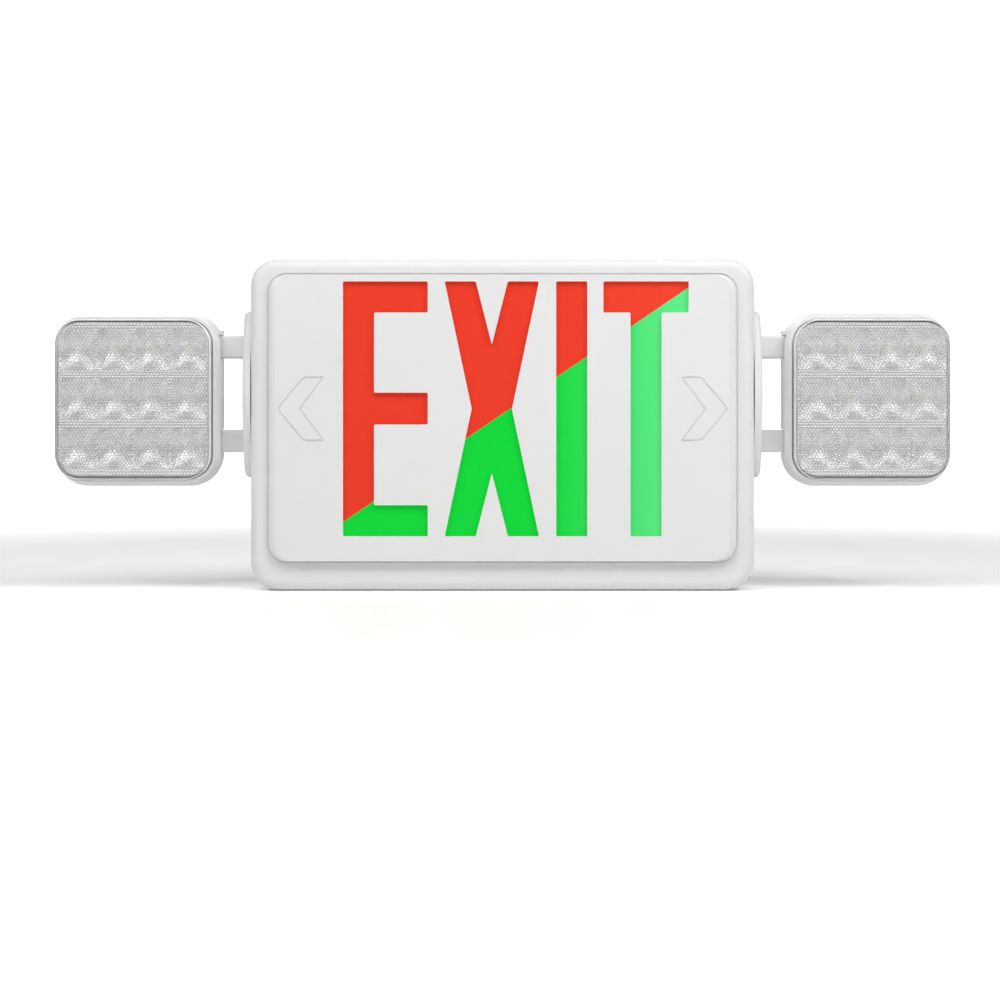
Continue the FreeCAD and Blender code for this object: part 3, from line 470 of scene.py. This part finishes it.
# ---- The letters and chevrons, as outlines in millimetres --------------------------------------------
def letter_e():
    """The letter E."""
    left, right = -95.4, -44.7
    stem = left + STROKE
    top, bottom = LETTER_TOP, LETTER_BOTTOM
    bar_low, bar_high = 0.1, 19.1
    return [(left, bottom), (right, bottom), (right, bottom + STROKE), (stem, bottom + STROKE),
            (stem, bar_low), (right, bar_low), (right, bar_high), (stem, bar_high), (stem, top - STROKE),
            (right, top - STROKE), (right, top), (left, top)]


def letter_x():
    """The letter X, the same on both sides of its middle."""
    middle_x = -6.4
    middle_z = (LETTER_TOP + LETTER_BOTTOM) / 2
    half_height = (LETTER_TOP - LETTER_BOTTOM) / 2
    half_width, inner, waist, notch = 28.2, 9.6, 12.0, 38.4
    upper = [(waist, 0), (half_width, half_height), (inner, half_height), (0, notch),
             (-inner, half_height), (-half_width, half_height), (-waist, 0)]
    lower = [(-half_width, -half_height), (-inner, -half_height), (0, -notch), (inner, -half_height),
             (half_width, -half_height)]
    return [(middle_x + x, middle_z + z) for x, z in upper + lower]


def letter_i():
    """The letter I."""
    left = 32.1
    return [(left, LETTER_BOTTOM), (left + STROKE, LETTER_BOTTOM), (left + STROKE, LETTER_TOP),
            (left, LETTER_TOP)]


def letter_t():
    """The letter T."""
    left, right = 60.3, 111.3
    stem = (left + right - STROKE) / 2
    return [(stem, LETTER_BOTTOM), (stem + STROKE, LETTER_BOTTOM), (stem + STROKE, LETTER_TOP - STROKE),
            (right, LETTER_TOP - STROKE), (right, LETTER_TOP), (left, LETTER_TOP),
            (left, LETTER_TOP - STROKE), (stem, LETTER_TOP - STROKE)]


def chevron(side, inset):
    """A knock-out chevron that points outwards, drawn in by an inset."""
    middle_z = (LETTER_TOP + LETTER_BOTTOM) / 2
    apex, shoulder, tip, inner, half = 135.0, 118.8, 106.4, 120.9, 19.2
    lean = inset * CHEVRON_LEAN_SHARE
    outline = [(apex - lean, 0), (shoulder, half - inset), (tip + lean, half - inset),
               (inner + lean, 0), (tip + lean, inset - half), (shoulder, inset - half)]
    return [(side * x, middle_z + z) for x, z in outline]


# ---- The face panel ----------------------------------------------------------------------------------
def flat_layer(name, outlines, back_y, thickness, bevel):
    """A sheet with holes, from outlines in the XZ plane, in front of a depth. Nested outlines alternate."""
    curve = bpy.data.curves.new(name, "CURVE")
    curve.dimensions = "2D"
    curve.fill_mode = "BOTH"
    for outline in outlines:
        spline = curve.splines.new("POLY")
        spline.points.add(len(outline) - 1)
        spline.use_cyclic_u = True
        for point, (x, z) in zip(spline.points, outline):
            point.co = (x * MM, z * MM, 0.0, 1.0)
    curve.extrude = thickness * MM / 2 - bevel * MM
    curve.bevel_depth = bevel * MM
    curve.bevel_resolution = 2
    curve.offset = -bevel * MM
    holder = linked(name, curve)
    mesh = evaluated(holder)
    bpy.data.objects.remove(holder)
    middle = back_y - thickness * MM / 2
    for vertex in mesh.vertices:
        x, z, out = vertex.co
        vertex.co = (x, middle - out, z)
    return mesh


def skirt_mesh():
    """The panel's sides: a low lip and a groove at its foot, then a slope with a soft shoulder."""
    lip_side = LIP_SHARE * FOOT_SIDE
    lip_edge = LIP_SHARE * FOOT_EDGE
    profile = [(0.0, 0.0, 0.0), (0.0, 0.0, FOOT_LIP), (lip_side, lip_edge, FOOT_LIP),
               (lip_side, lip_edge, FOOT_FLOOR), (FOOT_SIDE, FOOT_EDGE, FOOT_FLOOR)]
    for step in range(1, SKIRT_STEPS + 1):
        share = step / SKIRT_STEPS
        run = 1 - math.cos(share * math.pi / 2)
        along = STRAIGHT_SHARE * share + (1 - STRAIGHT_SHARE) * run
        side = FOOT_SIDE + (SIDE_SLOPE - FOOT_SIDE) * along
        edge = FOOT_EDGE + (EDGE_SLOPE - FOOT_EDGE) * run
        rise = FOOT_FLOOR + (face_rise / MM - FOOT_FLOOR) * math.sin(share * math.pi / 2)
        profile.append((side, edge, rise))
    work = bmesh.new()
    rings = []
    for side, edge, rise in profile:
        rings.append([work.verts.new((x * MM, rim_y - rise * MM, z * MM))
                      for x, z in panel_outline(side, edge)])
    join_rings(work, rings)
    return smoothed(finished(work, "face_skirt"), SKIRT_CREASE)


def build_face():
    """The stencil face: lettered and grooved front, over a plain lower layer, with sloped sides."""
    letters = [rounded_corners(outline, LETTER_CORNER)
               for outline in (letter_e(), letter_x(), letter_i(), letter_t())]
    grooves = []
    for side in (-1, 1):
        grooves.append(rounded_corners(chevron(side, 0.0), CHEVRON_CORNER))
        grooves.append(rounded_corners(chevron(side, GROOVE_WIDTH), CHEVRON_INNER_CORNER))
    front = panel_outline(SIDE_SLOPE, EDGE_SLOPE)
    upper = flat_layer("face_upper", [front] + letters + grooves, face_y + GROOVE_DEPTH * MM,
                       GROOVE_DEPTH, LETTER_BEVEL)
    lower = flat_layer("face_lower", [front] + letters, face_y + FACE_WALL * MM,
                       FACE_WALL - GROOVE_DEPTH, LOWER_BEVEL)
    work = bmesh.new()
    for mesh in (upper, lower, skirt_mesh()):
        work.from_mesh(mesh)
    face = finished(work, "stencil_face_cut", outward=False)
    piece = add_piece("stencil_face_cut", face, "housing", "white_face")
    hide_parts("stencil_face")


# ---- Lamp heads --------------------------------------------------------------------------------------
def on_rounded_box(across, up, half_x, half_z, radius):
    """Maps a point of the square from -1 to 1 onto a rectangle with rounded corners."""
    reach = max(abs(across), abs(up))
    if reach == 0:
        return 0.0, 0.0
    edge_x = half_x * across / reach
    edge_z = half_z * up / reach
    centre_x = half_x - radius
    centre_z = half_z - radius
    share = 1.0
    if abs(edge_x) > centre_x and abs(edge_z) > centre_z:
        along = abs(edge_x) * centre_x + abs(edge_z) * centre_z
        length = edge_x**2 + edge_z**2
        share = (along + math.sqrt(along**2 - length * (centre_x**2 + centre_z**2 - radius**2))) / length
    pull = 1 - (1 - share) * reach**CORNER_PULL_POWER
    return half_x * across * pull, half_z * up * pull


def bead_valley(x, z):
    """How deep a point lies below the tops of the staggered, round-backed beads, from 0 to 1."""
    nearest = BEAD_PITCH**2
    row = math.floor(z / BEAD_ROW)
    for level in (row, row + 1):
        shift = BEAD_PITCH / 2 if level % 2 else 0.0
        column = round((x - shift) / BEAD_PITCH)
        nearest = min(nearest, (x - shift - column * BEAD_PITCH)**2 + (z - level * BEAD_ROW)**2)
    return 1 - math.sqrt(1 - min(1.0, nearest / (BEAD_REACH_SHARE * BEAD_PITCH)**2))


def square_edge(cells):
    """The index pairs round a square grid, anticlockwise."""
    bottom = [(index, 0) for index in range(cells)]
    right = [(cells, index) for index in range(cells)]
    top = [(cells - index, cells) for index in range(cells)]
    left = [(0, cells - index) for index in range(cells)]
    return bottom + right + top + left


def beaded_front(cells, half_x, half_z):
    """A lens's beaded inner face: its points, how deep each lies below the beads' tops, and its faces."""
    points = []
    hollows = []
    for column in range(cells + 1):
        for row in range(cells + 1):
            x, z = on_rounded_box(2 * column / cells - 1, 2 * row / cells - 1, half_x, half_z,
                                  LENS_RADIUS - LENS_WALL)
            hollow = bead_valley(x, z)
            points.append((x, LENS_WALL - BEAD_DEPTH * hollow, z))
            hollows.append(hollow)
    faces = []
    for column in range(cells):
        for row in range(cells):
            here = column * (cells + 1) + row
            faces.append((here, here + cells + 1, here + cells + 2, here + 1))
    return points, hollows, faces


def closed_mesh(name, points, faces, stored):
    """A mesh with smooth quads and its faces outward, and with named values stored on its points."""
    draft = bpy.data.meshes.new(name + "_draft")
    draft.from_pydata(points, [], faces)
    for polygon in draft.polygons:
        polygon.use_smooth = len(polygon.vertices) == 4
    work = bmesh.new()
    work.from_mesh(draft)
    bpy.data.meshes.remove(draft)
    mesh = finished(work, name)
    for title, values in stored.items():
        mesh.attributes.new(title, "FLOAT", "POINT").data.foreach_set("value", values)
    return mesh


def lens_mesh(low, high, name):
    """A clear cap: smooth outside, with staggered beads inside its front and ridges inside its sides."""
    half_x = (high.x - low.x) / MM / 2
    half_z = (high.z - low.z) / MM / 2
    depth = (high.y - low.y) / MM
    cells = LENS_CELLS
    points, hollows, faces = beaded_front(cells, half_x - LENS_WALL, half_z - LENS_WALL)
    # painted shade and roughness, strongest in the beads' valleys
    valley_shades_and_roughness = [INNER_VALLEY + (1 - INNER_VALLEY) * hollow for hollow in hollows]
    frostings = [VALLEY_FROSTING * hollow for hollow in hollows]
    edge = square_edge(cells)
    last = [column * (cells + 1) + row for column, row in edge]

    def ring(inset, y, frosting=1.0, ridge=0.0):
        """Adds a ring round the cap and joins it to the last one."""
        nonlocal last
        first = len(points)
        for column, row in edge:
            across = 2 * column / cells - 1
            up = 2 * row / cells - 1
            x, z = on_rounded_box(across, up, half_x - inset, half_z - inset, LENS_RADIUS - inset)
            along = z if abs(across) > abs(up) else x
            grow = 1 + ridge * (1 + math.cos(2 * math.pi * along / BEAD_ROW)) / (half_x + half_z)
            points.append((x * grow, y, z * grow))
            valley_shades_and_roughness.append(0.0)
            frostings.append(frosting)
        fresh = list(range(first, len(points)))
        for index in range(len(edge)):
            following = (index + 1) % len(edge)
            faces.append((last[index], last[following], fresh[following], fresh[index]))
        last = fresh

    ring(LENS_WALL, LENS_WALL + LENS_INNER_EDGE, ridge=RIDGE_DEPTH)
    ring(LENS_WALL, depth - LENS_PLAIN_FOOT, ridge=RIDGE_DEPTH)
    ring(LENS_WALL, depth)
    ring(0.0, depth)
    for step in range(LENS_EDGE_STEPS + 1):
        angle = math.radians(90 * step / LENS_EDGE_STEPS)
        ring(LENS_EDGE * (1 - math.cos(angle)), LENS_EDGE * (1 - math.sin(angle)),
             frosting=1 - step / LENS_EDGE_STEPS)
    faces.append(tuple(last))
    centre = Vector(((low.x + high.x) / 2, low.y, (low.z + high.z) / 2))
    placed = [centre + Vector(point) * MM for point in points]
    return closed_mesh(name, placed, faces, {"valley_shade_and_roughness": valley_shades_and_roughness, "frosting": frostings})


def build_lenses():
    """The prismatic covers of both heads."""
    for side in ("left", "right"):
        low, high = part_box(side + "_lens")
        name = side + "_prismatic_lens"
        piece = add_piece(name, lens_mesh(low, high, name), side + "_head", "clear_lens")
        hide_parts(side + "_lens")


# ---- Screws in the back ------------------------------------------------------------------------------
def turned(profile, name):
    """A solid turned about the Y axis from (radius, y) points that start and end on the axis."""
    work = bmesh.new()
    rings = []
    for radius, y in profile:
        if radius == 0:
            rings.append([work.verts.new((0, y, 0))] * SCREW_SIDES)
            continue
        angles = [2 * math.pi * step / SCREW_SIDES for step in range(SCREW_SIDES)]
        rings.append([work.verts.new((radius * math.cos(a), y, radius * math.sin(a))) for a in angles])
    join_rings(work, rings)
    return finished(work, name)


def cross_cutter(name):
    """Two crossed, tapered bars, which cut the driver's recess into a screw's head at y = 0."""
    work = bmesh.new()
    for turn in (0.0, math.pi / 2):
        rings = []
        for y, grow in ((RECESS_ABOVE, RECESS_MOUTH_SHARE), (-RECESS_DEPTH, RECESS_FLOOR_SHARE)):
            half_length = RECESS_REACH * grow
            half_width = RECESS_WIDTH / 2 * (1 - RECESS_TAPER_SHARE + RECESS_TAPER_SHARE * grow)
            ring = []
            for along, across in ((-1, -1), (1, -1), (1, 1), (-1, 1)):
                x = along * half_length
                z = across * half_width
                ring.append(work.verts.new((x * math.cos(turn) - z * math.sin(turn), y,
                                            x * math.sin(turn) + z * math.cos(turn))))
            rings.append(ring)
        for ring in rings:
            work.faces.new(ring)
        join_rings(work, rings)
    return finished(work, name)


def cross_head_screw(length):
    """A pan-head screw that points along -Y, with its head's face at y = 0 and a cross recess."""
    crown_height = SCREW_HEIGHT * SCREW_CROWN_SHARE
    profile = [(0, -length), (SCREW_SHANK * SCREW_TIP_SHARE, -length), (SCREW_SHANK, SCREW_POINT - length),
               (SCREW_SHANK, -SCREW_HEIGHT), (SCREW_HEAD * SCREW_FOOT_SHARE, -SCREW_HEIGHT)]
    for step in range(SCREW_CROWN_STEPS):
        angle = math.radians(90 * step / SCREW_CROWN_STEPS)
        profile.append((SCREW_HEAD * math.cos(angle), crown_height * math.sin(angle) - crown_height))
    profile.append((0, 0))
    body = linked("back_screw", turned(profile, "back_screw"))
    cutter = linked("back_screw_cutter", cross_cutter("back_screw_cutter"))
    cut = body.modifiers.new("recess", "BOOLEAN")
    cut.operation = "DIFFERENCE"
    cut.use_self = True
    cut.object = cutter
    mesh = evaluated(body)
    bpy.data.objects.remove(body)
    bpy.data.objects.remove(cutter)
    return mesh


def build_back_screws():
    """The four screws in the back plate's corners, each in its CAD screw's place."""
    low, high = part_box("back_plate_screws")
    single = cross_head_screw((high.y - low.y) / MM)
    work = bmesh.new()
    inset = SCREW_HEAD * MM
    for x in (low.x + inset, high.x - inset):
        for z in (low.z + inset, high.z - inset):
            first = len(work.verts)
            work.from_mesh(single)
            work.verts.ensure_lookup_table()
            for vertex in work.verts[first:]:
                vertex.co = Vector((x, high.y, z)) + vertex.co * MM
    screws = smoothed(finished(work, "cross_head_screws", outward=False), SCREW_CREASE)
    piece = add_piece("cross_head_screws", screws, "housing", "zinc_screw")
    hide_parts("back_plate_screws")


# ---- Stage -------------------------------------------------------------------------------------------
def seen_directly(nodes, links):
    """1 for rays that the camera, a glossy surface or a clear piece sends, and 0 for all others."""
    path = nodes.new("ShaderNodeLightPath")
    mirrored = combined(nodes, links, "MAXIMUM", path.outputs["Is Camera Ray"],
                        path.outputs["Is Glossy Ray"])
    return combined(nodes, links, "MAXIMUM", mirrored, path.outputs["Is Transmission Ray"])


def floor_material():
    """Pale matt board that keeps the object's shadow near it and is white further off."""
    made, nodes, links, shader = material("floor")
    shader.inputs["Base Color"].default_value = grey(FLOOR_TONE)
    shader.inputs["Specular IOR Level"].default_value = 0.2
    grain = noise(nodes, links, scale=30.0, detail=2.0)
    smoothest, roughest = 0.36, 0.44
    links.new(ramp(nodes, links, grain, grey(smoothest), grey(roughest)), shader.inputs["Roughness"])
    coordinates = nodes.new("ShaderNodeTexCoord")
    gap = nodes.new("ShaderNodeVectorMath")
    gap.operation = "LENGTH"
    links.new(coordinates.outputs["Object"], gap.inputs[0])
    spread = smooth_range(nodes, links, gap.outputs["Value"], SHADE_ENDS, WHITE_BEGINS, FLOOR_LIFT)
    lift = combined(nodes, links, "MULTIPLY", seen_directly(nodes, links), spread)
    shader.inputs["Emission Color"].default_value = grey(1.0)
    links.new(lift, shader.inputs["Emission Strength"])
    return made


def backdrop_material():
    """Pale paper that looks white."""
    made, nodes, links, shader = material("backdrop")
    shader.inputs["Base Color"].default_value = grey(0.8)
    shader.inputs["Roughness"].default_value = 0.9
    shader.inputs["Emission Color"].default_value = grey(1.0)
    links.new(seen_directly(nodes, links), shader.inputs["Emission Strength"])
    return made


def add_sheet(name, profile, finish):
    """A wide stage sheet along a profile of (y, height) points."""
    work = bmesh.new()
    rows = [[work.verts.new((x, y, floor_z + height)) for x in (-FLOOR_HALF_WIDTH, FLOOR_HALF_WIDTH)]
            for y, height in profile]
    for lower, upper in zip(rows, rows[1:]):
        work.faces.new((lower[0], lower[1], upper[1], upper[0]))
    mesh = smoothed(finished(work, name, outward=False))
    mesh.materials.append(finish)
    sheet = linked(name, mesh)


def build_floor():
    """A floor that curves up into a backdrop, far enough round to fill every view."""
    bend_start = SWEEP_BACK - SWEEP_BEND
    rise = []
    for step in range(1, SWEEP_STEPS + 1):
        angle = math.radians(90 * step / SWEEP_STEPS)
        rise.append((bend_start + SWEEP_BEND * math.sin(angle), SWEEP_BEND - SWEEP_BEND * math.cos(angle)))
    add_sheet("floor", [(FLOOR_FRONT, 0.0), (FLOOR_MIDDLE, 0.0), (bend_start, 0.0)], floor_material())
    add_sheet("backdrop", [(bend_start, 0.0)] + rise + [(SWEEP_BACK, BACKDROP_HEIGHT)],
              backdrop_material())


def add_area(name, place, size, power):
    """A soft rectangular lamp that looks at the object."""
    light = bpy.data.lights.new(name, "AREA")
    light.shape = "RECTANGLE"
    light.size, light.size_y = size
    light.energy = power
    lamp = linked(name, light)
    lamp.location = place
    lamp.rotation_mode = "QUATERNION"
    lamp.rotation_quaternion = (Vector(LAMP_TARGET) - Vector(place)).to_track_quat("-Z", "Y")


def build_world():
    """A pale world that is white to the camera and brighter in mirrors than as light."""
    world = bpy.data.worlds.new("studio")
    bpy.context.scene.world = world
    world.use_nodes = True
    nodes = world.node_tree.nodes
    links = world.node_tree.links
    background = nodes["Background"]
    background.inputs["Color"].default_value = grey(1.0)
    path = nodes.new("ShaderNodeLightPath")
    mirrored = combined(nodes, links, "MAXIMUM", path.outputs["Is Glossy Ray"],
                        path.outputs["Is Transmission Ray"])
    strength = nodes.new("ShaderNodeMapRange")
    strength.inputs["To Min"].default_value = WORLD_STRENGTH
    strength.inputs["To Max"].default_value = MIRRORED_STRENGTH
    links.new(mirrored, strength.inputs["Value"])
    in_view = combined(nodes, links, "MAXIMUM", strength.outputs["Result"], path.outputs["Is Camera Ray"])
    links.new(in_view, background.inputs["Strength"])


def build_light():
    """A soft key on each side in front, and lamps overhead and behind."""
    left_place = (-KEY_PLACE[0], *KEY_PLACE[1:])
    add_area("key_right", KEY_PLACE, KEY_SIZE, KEY_POWER)
    add_area("key_left", left_place, KEY_SIZE, LEFT_KEY_SHARE * KEY_POWER)
    add_area("overhead", OVERHEAD_PLACE, OVERHEAD_SIZE, OVERHEAD_POWER)
    add_area("behind", BACK_PLACE, BACK_SIZE, BACK_POWER)
    build_world()


def build_camera():
    """The camera, square to the face, with the frame set by its shift."""
    camera = bpy.data.cameras.new("camera")
    camera.sensor_width = SENSOR_MILLIMETRES
    camera.lens = SENSOR_MILLIMETRES * VIEW_DISTANCE / VIEW_WIDTH
    camera.shift_x = FRAME_SHIFT_X
    camera.shift_y = FRAME_SHIFT_Y
    camera.clip_start = NEAREST
    camera.clip_end = FARTHEST
    holder = linked("camera", camera)
    holder.location = (0.0, face_y - VIEW_DISTANCE, (housing_low.z + housing_high.z) / 2)
    holder.rotation_euler = (math.radians(90), 0.0, 0.0)
    bpy.context.scene.camera = holder


dress_frame()
build_face()
build_lenses()
build_back_screws()
build_floor()
build_light()
build_camera()
bpy.context.scene.view_settings.view_transform = "Standard"
